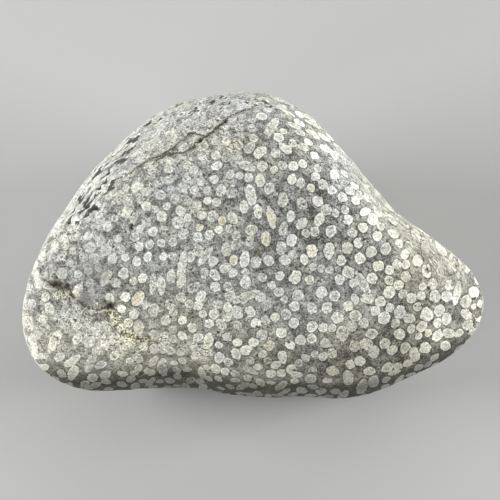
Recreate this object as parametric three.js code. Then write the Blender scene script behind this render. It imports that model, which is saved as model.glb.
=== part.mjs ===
// A water-worn pebble of fossil colonial coral, one solid piece of stone lying on its broad side.
//
// Millimetres, +Z up. The origin is the middle of the bounding box's floor, on the resting face.
// +X runs along the pebble's length, to its blunt nose; +Z runs through its thickness.

import * as THREE from "three";
import { mergeVertices } from "three/addons/utils/BufferGeometryUtils.js";

// Driving dimensions of the bounding box.
const LENGTH = 114;
const WIDTH = 72;
const HEIGHT = 53;

// Rises and falls measured from the widest level, where the plan outline lies.
const CROWN_RISE = 28;
const BELLY_FALL = 26;
const RESTING_FALL = HEIGHT - CROWN_RISE; // the underside is flat at this depth, where it rests

// Cross-section: 2 would be an ellipse, and larger numbers are boxier.
const BOXINESS = 3.3;
// Sideways shift towards +Y for each millimetre of rise: the pebble leans a little.
const LEAN = 0.185;

// Plan outline at the widest level, counterclockwise from the near side of the nose.
const OUTLINE = [
  [29, -32.5],
  [39.5, -28],
  [49.5, -24.5],
  [58, -19],
  [61, -12], // tip of the nose
  [50, -4],
  [39, 2.5],
  [31, 10.5], // hollow of the far right side
  [21.5, 23.5],
  [14, 32.5],
  [3, 36], // top of the hump
  [-10, 36],
  [-23, 34],
  [-34, 26],
  [-46, 11.5],
  [-54, -3.5],
  [-58.5, -18], // blunt left end
  [-54, -30.5],
  [-36, -31.5],
  [-20, -29.5], // shallow dent of the near side
  [-4, -32.5],
  [12, -33],
];
const OUTLINE_STEPS = 40; // steps of the curve between two outline points
const OUTLINE_WAVES = 16; // highest wave kept of the outline's radius over angle
const WAVE_SOFTENING = 0.05; // higher waves are damped by this much per wave

// Worn facets: the direction each one faces, and its distance from the middle of the widest level.
const FACETS = [
  { faces: [0.53, 0.47, 0.71], distance: 32 }, // far shoulder, along the nose
  { faces: [0.3, -0.48, 0.83], distance: 28 }, // near slope of the nose
  { faces: [-0.1, -0.62, 0.78], distance: 27.5 }, // near shoulder
  { faces: [-0.45, 0.45, 0.77], distance: 37 }, // far left shoulder
  { faces: [-0.55, 0.15, -0.82], distance: 33 }, // underside, left
  { faces: [0.6, 0.3, -0.74], distance: 33 }, // underside, right
];
const FACET_BLEND = 12; // larger numbers give sharper edges between the facets and the body

const MESH_STEPS = 26; // squares along each edge of the six patches that wrap the pebble

const STONE = new THREE.MeshStandardMaterial({
  color: 0xaaaaa1,
  roughness: 0.78,
  metalness: 0,
});

/** The outline's radius over angle, as [cosine, sine] parts of wave 0, 1, 2 and so on. */
function outlineWaves() {
  const corners = OUTLINE.map(([x, y]) => new THREE.Vector3(x, y, 0));
  const curve = new THREE.CatmullRomCurve3(corners, true, "catmullrom", 0.5);
  const ring = curve.getPoints(corners.length * OUTLINE_STEPS);
  const waves = Array.from({ length: OUTLINE_WAVES + 1 }, () => [0, 0]);
  for (let i = 1; i < ring.length; i++) {
    const [a, b] = [ring[i - 1], ring[i]];
    const turn = Math.atan2(a.x * b.y - a.y * b.x, a.x * b.x + a.y * b.y);
    const angle = Math.atan2(a.y + b.y, a.x + b.x);
    const radius = Math.hypot(a.x + b.x, a.y + b.y) / 2;
    waves.forEach((wave, k) => {
      const share = (radius * turn) / (k === 0 ? 2 * Math.PI : Math.PI);
      const kept = share * Math.exp(-0.5 * (k * WAVE_SOFTENING) ** 2);
      wave[0] += kept * Math.cos(k * angle);
      wave[1] += kept * Math.sin(k * angle);
    });
  }
  return waves;
}

/** Plan radius towards an angle. Waves keep their height on the sides and fade towards the poles:
 * level is 1 at the widest level and 0 at a pole. */
function planRadius(waves, angle, level) {
  const keep = Math.sqrt(level ** 2 * (2 - level ** 2));
  return waves.reduce(
    (sum, [cosine, sine], k) =>
      sum + (cosine * Math.cos(k * angle) + sine * Math.sin(k * angle)) * keep ** k,
    0,
  );
}

/** Distance from the middle of the widest level to the surface, along a unit direction. */
function surfaceDistance(waves, direction) {
  const level = Math.hypot(direction.x, direction.y);
  const plan = planRadius(waves, Math.atan2(direction.y, direction.x), level);
  const rise = direction.z > 0 ? CROWN_RISE : BELLY_FALL;
  const body =
    ((level / plan) ** BOXINESS + (Math.abs(direction.z) / rise) ** BOXINESS) **
    (-1 / BOXINESS);
  const nearness = FACETS.reduce((sum, { faces, distance }) => {
    const along = direction.dot(new THREE.Vector3(...faces).normalize());
    return sum + (Math.max(along, 0) / distance) ** FACET_BLEND;
  }, body ** -FACET_BLEND);
  return nearness ** (-1 / FACET_BLEND);
}

/** The closed pebble: a box's grid, bulged to a sphere and then pushed out to the surface. */
function pebbleGeometry() {
  const box = new THREE.BoxGeometry(2, 2, 2, MESH_STEPS, MESH_STEPS, MESH_STEPS);
  box.deleteAttribute("normal");
  box.deleteAttribute("uv");
  const geometry = mergeVertices(box, 1e-4);
  const waves = outlineWaves();
  const position = geometry.getAttribute("position");
  const even = (value) => Math.tan((value * Math.PI) / 4);
  const point = new THREE.Vector3();
  for (let i = 0; i < position.count; i++) {
    point.fromBufferAttribute(position, i);
    point.set(even(point.x), even(point.y), even(point.z)).normalize();
    point.multiply(new THREE.Vector3(LENGTH, WIDTH, HEIGHT)).normalize();
    point.multiplyScalar(surfaceDistance(waves, point));
    point.y += LEAN * point.z;
    point.z = Math.max(point.z, -RESTING_FALL);
    position.setXYZ(i, point.x, point.y, point.z);
  }
  return fitToBox(geometry);
}

/** Scales the geometry to the exact bounding box and stands it on the origin's level. */
function fitToBox(geometry) {
  geometry.computeBoundingBox();
  const { min, max } = geometry.boundingBox;
  geometry.translate(-(min.x + max.x) / 2, -(min.y + max.y) / 2, -min.z);
  geometry.scale(LENGTH / (max.x - min.x), WIDTH / (max.y - min.y), HEIGHT / (max.z - min.z));
  geometry.computeVertexNormals();
  return geometry;
}

const pebble = new THREE.Mesh(pebbleGeometry(), STONE);
pebble.name = "coral_pebble";

const group = new THREE.Group();
group.add(pebble);

export default group;
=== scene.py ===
"""A water-worn pebble of fossil colonial coral, lying on its broad side on a plain pale floor.

The pebble's form is worked out in millimetres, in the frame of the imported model, and written to the mesh
in metres. Its surface is cut through a bed of coral tubes (corallites), which show as pale discs.
"""

import logging
import math
from dataclasses import dataclass, field
from enum import Enum

import bpy
import numpy as np
from mathutils import Matrix, Vector


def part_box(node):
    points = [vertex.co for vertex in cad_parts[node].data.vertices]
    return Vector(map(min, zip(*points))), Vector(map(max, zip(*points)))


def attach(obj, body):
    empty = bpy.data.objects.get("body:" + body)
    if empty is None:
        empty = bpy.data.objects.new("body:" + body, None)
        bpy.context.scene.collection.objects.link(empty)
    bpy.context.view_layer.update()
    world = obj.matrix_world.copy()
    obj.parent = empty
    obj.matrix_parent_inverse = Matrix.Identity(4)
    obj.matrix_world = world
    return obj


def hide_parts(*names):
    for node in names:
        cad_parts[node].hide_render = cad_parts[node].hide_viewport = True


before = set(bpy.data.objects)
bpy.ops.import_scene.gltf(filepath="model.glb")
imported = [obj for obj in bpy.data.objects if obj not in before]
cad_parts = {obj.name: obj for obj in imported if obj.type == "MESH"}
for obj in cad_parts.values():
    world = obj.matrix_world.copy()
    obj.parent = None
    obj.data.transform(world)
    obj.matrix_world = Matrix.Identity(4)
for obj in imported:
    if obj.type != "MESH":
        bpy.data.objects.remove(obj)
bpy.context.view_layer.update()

LOG = logging.getLogger("coral_pebble")

MM = 0.001  # metres in a millimetre
NODE = "coral_pebble"
BODY = "root"


def unit(vectors: np.ndarray) -> np.ndarray:
    """Vectors divided by their own lengths.

    Args:
        vectors: An array whose last axis is x, y, z.

    Returns:
        An array of the same shape, each vector of length 1.
    """
    return vectors / np.maximum(np.linalg.norm(vectors, axis=-1, keepdims=True), 1e-12)


def smooth_step(low: float, high: float, value: np.ndarray) -> np.ndarray:
    """A soft step: 0 below low, 1 above high, and 3t^2 - 2t^3 between them.

    Args:
        low: Where the step starts.
        high: Where the step ends.
        value: The array to step.

    Returns:
        The stepped array.
    """
    t = np.clip((value - low) / (high - low), 0.0, 1.0)
    return t * t * (3.0 - 2.0 * t)


@dataclass(frozen=True)
class Waves:
    """A smooth random field over space: a sum of plane waves of random direction and phase."""

    seed: int
    shortest: float  # millimetres
    longest: float  # millimetres
    count: int = 24
    spread: float = 0.6  # the root mean square of the field

    def at(self, points: np.ndarray) -> np.ndarray:
        """The field's value: the sum of sin(k . p + phase) over the waves, scaled to the spread.

        Args:
            points: Places in millimetres, last axis x, y, z.

        Returns:
            One value for each place.
        """
        rng = np.random.default_rng(self.seed)
        ways = unit(rng.normal(size=(self.count, 3)))
        lengths = rng.uniform(self.shortest, self.longest, self.count)
        phases = rng.uniform(0.0, 2.0 * math.pi, self.count)
        total = np.zeros(points.shape[:-1])
        for way, length, phase in zip(ways, lengths, phases):
            total += np.sin(points @ way * (2.0 * math.pi / length) + phase)
        return total * math.sqrt(2.0 / self.count) * self.spread


@dataclass(frozen=True)
class Facet:
    """A flat that wear has cut: the direction it faces, and its distance from the middle of the widest level.
    """

    faces: tuple[float, float, float]
    distance: float


@dataclass(frozen=True)
class PebbleForm:
    """The pebble's smooth form, in millimetres from the middle of its widest level."""

    crown_rise: float = 28.0
    belly_fall: float = 26.0
    boxiness: float = 3.3
    lean: float = 0.185
    outline: tuple[tuple[float, float], ...] = (
        (29, -32.5), (39.5, -28), (49.5, -24.5), (58, -19), (61, -12), (50, -4), (39, 2.5), (31, 10.5),
        (21.5, 23.5), (14, 32.5), (3, 36), (-10, 36), (-23, 34), (-34, 26), (-46, 11.5), (-54, -3.5),
        (-58.5, -18), (-54, -30.5), (-36, -31.5), (-20, -29.5), (-4, -32.5), (12, -33),
    )  # fmt: skip
    outline_steps: int = 40
    outline_waves: int = 16
    wave_softening: float = 0.05
    facets: tuple[Facet, ...] = (
        Facet((0.53, 0.47, 0.71), 32.0),
        Facet((0.3, -0.48, 0.83), 28.0),
        Facet((-0.1, -0.62, 0.78), 27.5),
        Facet((-0.45, 0.45, 0.77), 37.0),
        Facet((-0.55, 0.15, -0.82), 33.0),
        Facet((0.6, 0.3, -0.74), 33.0),
    )
    facet_blend: float = 12.0

    def ring(self) -> np.ndarray:
        """The plan outline as a closed uniform Catmull-Rom curve through its points.

        Returns:
            The curve's points in order, last axis x, y.
        """
        b = np.array(self.outline, float)
        a, c, d = np.roll(b, 1, 0), np.roll(b, -1, 0), np.roll(b, -2, 0)
        t = (np.arange(self.outline_steps) / self.outline_steps)[:, None, None]
        curve = 2 * b + (c - a) * t + (2 * a - 5 * b + 4 * c - d) * t**2 + (3 * b - a - 3 * c + d) * t**3
        return 0.5 * curve.transpose(1, 0, 2).reshape(-1, 2)

    def wave_parts(self) -> np.ndarray:
        """The outline's radius over angle as a Fourier series.

        Returns:
            A complex number for each wave; its real and imaginary parts go with cosine and minus sine.
        """
        here = self.ring()
        there = np.roll(here, -1, 0)
        middle = (here + there) / 2.0
        turn = np.arctan2(
            here[:, 0] * there[:, 1] - here[:, 1] * there[:, 0], (here * there).sum(axis=1)
        )
        angle = np.arctan2(middle[:, 1], middle[:, 0])
        radius = np.hypot(middle[:, 0], middle[:, 1])
        order = np.arange(self.outline_waves + 1)
        parts = (radius * turn * np.exp(-1j * order[:, None] * angle)).sum(axis=1) / math.pi
        parts[0] /= 2.0
        return parts * np.exp(-0.5 * (order * self.wave_softening) ** 2)

    def plan_radius(self, angle: np.ndarray, level: np.ndarray | float = 1.0) -> np.ndarray:
        """The outline's radius at plan angles: the sum of its waves, which fade towards the poles.

        Args:
            angle: Angles from +X, in radians.
            level: How level each direction is, 1 at the widest level and 0 at a pole.

        Returns:
            One radius in millimetres for each angle.
        """
        keep = np.sqrt(level**2 * (2.0 - level**2))
        plan = np.zeros_like(angle)
        for order, part in enumerate(self.wave_parts()):
            plan += (part * np.exp(1j * order * angle)).real * keep**order
        return plan

    def surface(self, directions: np.ndarray) -> np.ndarray:
        """Points of the smooth surface towards unit directions.

        The body is a superellipse of the plan radius and the rise, power-blended with the facets, then
        sheared sideways by the lean.

        Args:
            directions: Unit vectors, last axis x, y, z.

        Returns:
            Points in millimetres from the middle of the widest level.
        """
        level = np.hypot(directions[..., 0], directions[..., 1])
        plan = self.plan_radius(np.arctan2(directions[..., 1], directions[..., 0]), level)
        rise = np.where(directions[..., 2] > 0.0, self.crown_rise, self.belly_fall)
        power = self.boxiness
        body = ((level / plan) ** power + (np.abs(directions[..., 2]) / rise) ** power) ** (-1.0 / power)
        nearness = body**-self.facet_blend
        for facet in self.facets:
            along = directions @ unit(np.array(facet.faces))
            nearness += (np.maximum(along, 0.0) / facet.distance) ** self.facet_blend
        points = directions * (nearness ** (-1.0 / self.facet_blend))[..., None]
        points[..., 1] += self.lean * points[..., 2]
        return points


@dataclass(frozen=True)
class Patch:
    """A soft round area of the upper side, by its place in plan and its reach, in millimetres."""

    x: float
    y: float
    reach: float
    amount: float = 1.0

    def weight(self, points: np.ndarray) -> np.ndarray:
        """The patch's strength at places: amount times exp(-(distance / reach)^2).

        Args:
            points: Places in millimetres.

        Returns:
            One strength for each place.
        """
        away = (points[..., 0] - self.x) ** 2 + (points[..., 1] - self.y) ** 2
        return self.amount * np.exp(-away / self.reach**2)


def together(group: tuple[Patch, ...], points: np.ndarray) -> np.ndarray:
    """The joint strength of several patches: one minus the product of what each leaves.

    Args:
        group: The patches to join.
        points: Places in millimetres.

    Returns:
        One strength, 0 to 1, for each place.
    """
    left = np.ones(points.shape[:-1])
    for patch in group:
        left *= 1.0 - np.clip(patch.weight(points), 0.0, 1.0)
    return 1.0 - left


def patches(*rows: tuple[float, ...]) -> tuple[Patch, ...]:
    """Patches from rows of x, y, reach and, where it isn't 1, amount."""
    return tuple(Patch(*row) for row in rows)


@dataclass(frozen=True)
class Fissure:
    """A crack of the upper side, as a line in plan, with the groove eroded along it, in millimetres."""

    line: tuple[tuple[float, float], ...]
    groove_depth: float
    groove_width: float
    taper: float = 2.5  # over this length its first end closes up
    fade: float = 2.5  # over this length its last end closes up
    far: float = 3.0  # distances are kept up to here

    def gap(self, points: np.ndarray) -> np.ndarray:
        """The signed distance in plan from each place to the line, positive on its left.

        Args:
            points: Places in millimetres.

        Returns:
            One distance for each place.
        """
        best = np.full(points.shape[:-1], np.inf)
        signed = np.zeros(points.shape[:-1])
        for start, end in zip(self.line[:-1], self.line[1:]):
            a, b = np.array(start), np.array(end)
            span = b - a
            offset = points[..., :2] - a
            t = np.clip(offset @ span / (span @ span), 0.0, 1.0)
            apart = np.linalg.norm(offset - t[..., None] * span, axis=-1)
            side = np.sign(span[0] * offset[..., 1] - span[1] * offset[..., 0])
            signed = np.where(apart < best, side * apart, signed)
            best = np.minimum(best, apart)
        return np.clip(signed, -self.far, self.far)

    def reach(self, points: np.ndarray) -> np.ndarray:
        """How open the crack is along its length: 1, falling to 0 at both ends and past them.

        Args:
            points: Places in millimetres.

        Returns:
            One value for each place.
        """
        first, last = np.array(self.line[0]), np.array(self.line[-1])
        way = (last - first) / np.linalg.norm(last - first)
        along = (points[..., :2] - first) @ way
        left = (last - first) @ way - along
        return smooth_step(0.0, self.taper, along) * smooth_step(0.0, self.fade, left)


@dataclass(frozen=True)
class Weathering:
    """Cracks, flaked edges, hollows and stains of the upper side, and patches of painted light and shade,
    placed in plan in millimetres.
    """

    fissures: tuple[Fissure, Fissure, Fissure] = (
        Fissure(
            ((1.5, 29.4), (0.1, 28.9), (-0.6, 27.8), (-3.2, 27.1), (-5.3, 26.1), (-6.5, 25.2), (-6.9, 24.4),
             (-8.1, 23.6), (-9.5, 22.3), (-10.4, 21.1), (-11.4, 20.7), (-13.2, 21), (-14.7, 21.6),
             (-15.9, 21.7), (-17, 20.7), (-18.7, 19.5), (-19.6, 18.5), (-20.7, 17.4), (-22.2, 16.6),
             (-23.6, 16), (-25.6, 15.3), (-27.4, 13.9), (-29.3, 12.2), (-31, 10.6), (-33.2, 9.3)),
            0.3, 0.8, 2.5, 9.0,
        ),
        Fissure(
            ((-11.6, 20.9), (-13.2, 19.5), (-14.2, 18.8), (-14.9, 17.8), (-16.3, 17.1), (-17.4, 16.2),
             (-18.6, 16.6), (-20.3, 16.4), (-21.7, 16), (-23.5, 15.1), (-24.6, 14)),
            0.25, 0.7,
        ),
        Fissure(
            ((-51.6, -12.4), (-49.9, -13.9), (-47.4, -15.3), (-44.8, -15.6), (-44.5, -16.5), (-43.5, -17.9),
             (-42.1, -18.7), (-40.5, -19.6), (-38.3, -20), (-36.5, -19.8), (-34.8, -19.6), (-32.6, -20.5)),
            0.35, 0.8,
        ),
    )  # fmt: skip
    flakes: tuple[Patch, ...] = patches(
        (-44.5, 1.6, 2.4, 0.8), (-41.2, 5.0, 3.2), (-38.5, 8.5, 3.4), (-36.5, 11.8, 3.4),
        (-34.6, 15.2, 3.2), (-32.5, 18.8, 2.6, 0.9), (-30.0, 22.0, 2.4, 0.7), (-25.0, 26.0, 3.5, 0.45),
        (-17.0, 30.0, 3.5, 0.5), (-8.0, 31.5, 3.5, 0.55), (1.5, 31.0, 3.5, 0.45),
    )
    pits: tuple[Patch, ...] = patches(
        (-29.5, -1.9, 0.42, 1.0), (-29.5, -2.7, 0.42, 1.0), (-48.7, -14.1, 0.8, 0.85),
        (-47.4, -14.5, 0.7, 0.9), (-45.5, -14.9, 0.85, 1.0), (-36.3, -18.5, 0.5, 0.8),
        (-34.9, -19.5, 0.8, 1.0), (-33.7, -19.2, 0.6, 0.8), (-13.3, 19.6, 0.55, 1.0),
        (-12.8, 20.0, 0.4, 0.8), (-7.0, 24.4, 0.55, 0.9), (-8.0, 23.7, 0.45, 0.8), (-7.1, 29.9, 0.3, 0.8),
        (-6.4, 30.0, 0.3, 0.8), (-45.5, 1.1, 0.45, 0.9), (-40.8, 4.6, 0.6, 0.95), (-38.6, 3.8, 0.6, 1.0),
        (-39.6, 7.0, 0.5, 0.9), (-37.9, 9.4, 0.5, 0.9), (-36.5, 11.1, 0.65, 1.0), (-35.6, 13.4, 0.5, 0.9),
        (-33.6, 17.6, 0.5, 0.9), (-32.2, 11.2, 0.5, 0.8),
    )
    hollow: tuple[Patch, ...] = patches(
        (-47.2, -14.5, 2.2), (-44.6, -15.8, 2.0), (-40.9, -18.0, 2.4, 0.8), (-35.2, -19.0, 2.4),
    )
    stain: tuple[Patch, ...] = patches(
        (-47.5, -16.0, 1.4, 0.6), (-44.8, -17.4, 1.4, 0.5), (-41.6, -20.2, 1.0, 0.5),
        (-38.2, -20.9, 1.0, 0.6), (-35.4, -20.9, 1.1, 0.9), (-33.4, -21.6, 1.2, 1.0),
        (-33.0, -23.2, 1.1, 0.9), (-31.8, -24.7, 1.0, 1.0), (-30.1, -25.9, 1.1, 1.0),
        (-28.2, -26.4, 0.9, 0.9), (-26.3, -26.4, 0.8, 0.8), (-24.2, -26.4, 0.7, 0.7),
        (-21.9, -26.2, 0.7, 0.6), (-5.8, 17.2, 2.0, 0.5), (-3.6, 19.0, 1.0, 0.6), (-8.5, 21.5, 1.8, 0.3),
        (-15.5, 13.0, 2.5, 0.2),
    )
    blurred: tuple[Patch, ...] = patches(
        (-45, -7, 8.0, 0.6), (-36, -2, 8.0, 0.5), (-36, -24.5, 5.0, 0.6), (-44, -21, 6.0, 0.55),
        (-16, 8, 6.0, 0.5), (-22, -27, 4.0, 0.4), (-6, 14, 5.0, 0.5), (22, -22, 5.0, 0.35),
        (-53, -22, 5.0, 0.6), (-52, -9, 6.0, 0.6), (-30, 8, 12.0, 0.3), (22, 15, 8.0, 0.55),
        (29, 6, 5.0, 0.35), (49, -9, 6.0, 0.45),
    )
    shelf_line: tuple[tuple[float, float], tuple[float, float]] = ((-24.0, 14.0), (1.4, 28.5))
    shelf_slope: tuple[float, float] = (-9.0, -1.0)  # across the shelf line, where the blur sets in slowly
    shelf_brink: tuple[float, float] = (-1.5, 1.0)  # across the shelf line, where it sets in sharply
    shelf_end: tuple[float, float] = (9.0, -3.0)  # along X, where the shelf dies out
    slope_share: float = 0.5
    brink_share: float = 0.45
    pit_depth: float = 0.9
    hollow_depth: float = 0.7
    flake_depth: float = 0.25
    flake_unevenness: float = 0.3
    flake_waves: Waves = Waves(5, 1.6, 5.0)
    pale: tuple[Patch, ...] = patches(
        (-46, -20, 5.0, 0.45), (-39.9, -24.9, 3.0, 0.6), (-36.2, -26.5, 2.6, 0.75),
        (-32.6, -27.4, 2.4, 0.8), (-27.7, -27.4, 2.0, 0.75), (-21.6, -27.4, 2.0, 0.75),
        (-15.5, -27.6, 2.2, 0.7), (-11.9, -29.2, 2.2, 0.7), (-44, 1, 4.0, 0.4), (-38, 11, 5.0, 0.35),
        (-6, 15, 4.0, 0.25),
    )
    # Patches made paler: painted light, and wear.
    worn_and_lit: tuple[Patch, ...] = patches(
        (22, 13, 6.0, 0.45), (30, 2, 5.0, 0.6), (37, -4, 6.0, 0.8), (44, -10, 6.0, 0.75),
        (50, -15, 5.0, 0.3), (-50, -24, 5.0, 0.3), (-7, 31, 6.0, 0.5), (2, 30, 5.0, 0.4),
        (49, -11, 6.0, 0.5), (28, 7, 5.0, 0.25), (-46, -28, 5.0, 0.5), (52, -21, 5.0, 0.2),
        (44, -9, 4.0, 0.6), (27, -20, 6.0, 0.6), (14, -19, 7.0, 0.55), (20, -29, 5.0, 0.5),
        (51, -6, 5.0, 0.5),
    )
    # Patches of painted shade, where the stone is made darker.
    painted_shade_patches: tuple[Patch, ...] = patches(
        (13.5, -0.8, 4.5, 0.5), (8, 0.0, 4.0, 0.5), (-3, 15.0, 4.0, 0.5), (6.3, -10.0, 4.0, 0.7),
        (14, 8, 6.0, 0.45), (-8, -30.5, 5.0, 0.6), (32, -29.5, 4.5, 0.8), (39, -29, 4.0, 0.6),
        (-51, -6, 6.0, 0.8), (-55, -15, 5.0, 0.5), (-15, 22, 8.0, 0.35), (-34, 6, 8.0, 0.2),
        (-50, -13, 5.0, 0.5), (-43, -10, 5.0, 0.5), (-37, -17, 5.0, 0.6), (-30, -12, 5.0, 0.4),
    )
    bare: tuple[Patch, ...] = patches(
        (-41.3, -17.3, 1.3), (-39.9, -17.9, 1.2), (-38, -12, 4, 0.4),
    )
    streaks: tuple[Patch, ...] = patches(
        (25.5, 13.0, 2.4, 0.8), (29.5, 8.2, 3.0, 0.95), (33.0, 4.2, 3.2), (36.2, 0.6, 3.2),
        (39.4, -2.8, 3.2), (43.0, -5.8, 2.8), (46.5, -8.0, 2.6, 0.95), (50.0, -11.0, 2.2, 0.7),
    )

    def haze(self, points: np.ndarray) -> np.ndarray:
        """How much the corallites are blurred: the side beyond the shelf line, and soft patches.

        Args:
            points: Places in millimetres.

        Returns:
            One value, 0 to 1, for each place.
        """
        start, end = (np.array(point) for point in self.shelf_line)
        way = (end - start) / np.linalg.norm(end - start)
        beyond = (points[..., :2] - start) @ np.array([-way[1], way[0]])
        shelf = self.slope_share * smooth_step(*self.shelf_slope, beyond)
        shelf = shelf + self.brink_share * smooth_step(*self.shelf_brink, beyond)
        shelf = shelf * smooth_step(*self.shelf_end, points[..., 0])
        return 1.0 - (1.0 - shelf) * (1.0 - together(self.blurred, points))

    def relief(self, points: np.ndarray, upward: np.ndarray) -> np.ndarray:
        """How far the weathering lowers the surface: grooves, pits, hollows and flaked edges added up.

        Args:
            points: Places in millimetres.
            upward: How far each place faces up, 0 to 1; the underside keeps its surface.

        Returns:
            One depth in millimetres for each place.
        """
        depth = self.pit_depth * together(self.pits, points)
        depth = depth + self.hollow_depth * together(self.hollow, points)
        uneven = self.flake_depth + self.flake_unevenness * self.flake_waves.at(points)
        depth += together(self.flakes, points) * uneven
        for fissure in self.fissures:
            near = np.exp(-((fissure.gap(points) / fissure.groove_width) ** 2))
            depth += fissure.groove_depth * near * fissure.reach(points)
        return depth * upward


class Lie(Enum):
    """How corallites lie in a region, as the direction that their axes tip towards."""

    AWAY = (0.12, 1.0, 0.0)
    ALONG_NOSE = (0.68, -0.72, -0.15)
    UP_RIGHT = (0.75, 0.65, 0.0)
    UP_LEFT = (-0.55, 0.8, 0.0)
    ROUND_BACK = (-0.9, 0.1, -0.3)


@dataclass(frozen=True)
class Grain:
    """A region where corallites tip over: its middle in space, its reach, and how far they tip."""

    middle: tuple[float, float, float]
    reach: float
    lie: Lie
    tip: float


@dataclass(frozen=True)
class Landmark:
    """One corallite that stands out: its place in plan, its radius, its axis and its looks."""

    x: float
    y: float
    radius: float
    axis: tuple[float, float, float]
    brightness: float = 0.7
    warmth: float = 0.2
    vigour: float = 0.5


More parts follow.
